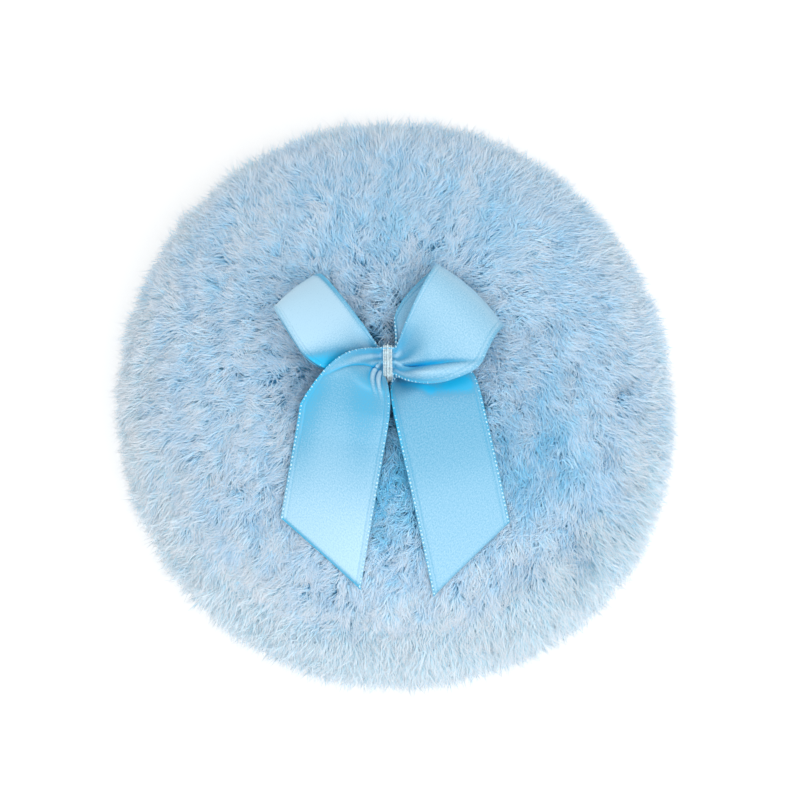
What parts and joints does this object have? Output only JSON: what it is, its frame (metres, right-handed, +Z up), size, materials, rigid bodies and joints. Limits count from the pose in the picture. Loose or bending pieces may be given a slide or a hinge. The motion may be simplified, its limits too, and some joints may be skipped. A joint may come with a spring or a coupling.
{
  "type": "powder puff",
  "caption": "Round plush powder puff with a stuffed pad, two sewn cover halves and a satin ribbon bow tied and stitched to the middle of its crown.",
  "frame": {"origin": "middle of the flat face that the pad rests on, under the bow's knot", "axes": "+Z up out of the crown through the bow's knot, +X to the bow's right, +Y away from the ribbon's tails"},
  "size_m": [0.0788, 0.0828, 0.0473],
  "materials": {
    "plush": "short pale-blue plush pile",
    "fibre": "loose white polyester fibre",
    "seam_thread": "matt spun thread",
    "satin": "sky-blue double-faced satin",
    "bow_thread": "white spun thread"
  },
  "bodies": {
    "puff": {"top_cover": "plush", "bottom_cover": "plush", "fibre_filling": "fibre", "seam_thread": "seam_thread", "closing_thread": "seam_thread"},
    "bow": {"bow_ribbon": "satin", "bow_tie_thread": "bow_thread", "bow_anchor_thread": "bow_thread"}
  },
  "joints": [
    {"name": "bow_swivel", "type": "hinge", "parent": "puff", "child": "bow", "pos_m": [0, 0, 0.03754], "axis": [0, 0, 1], "range_deg": [-25, 25]}
  ]
}
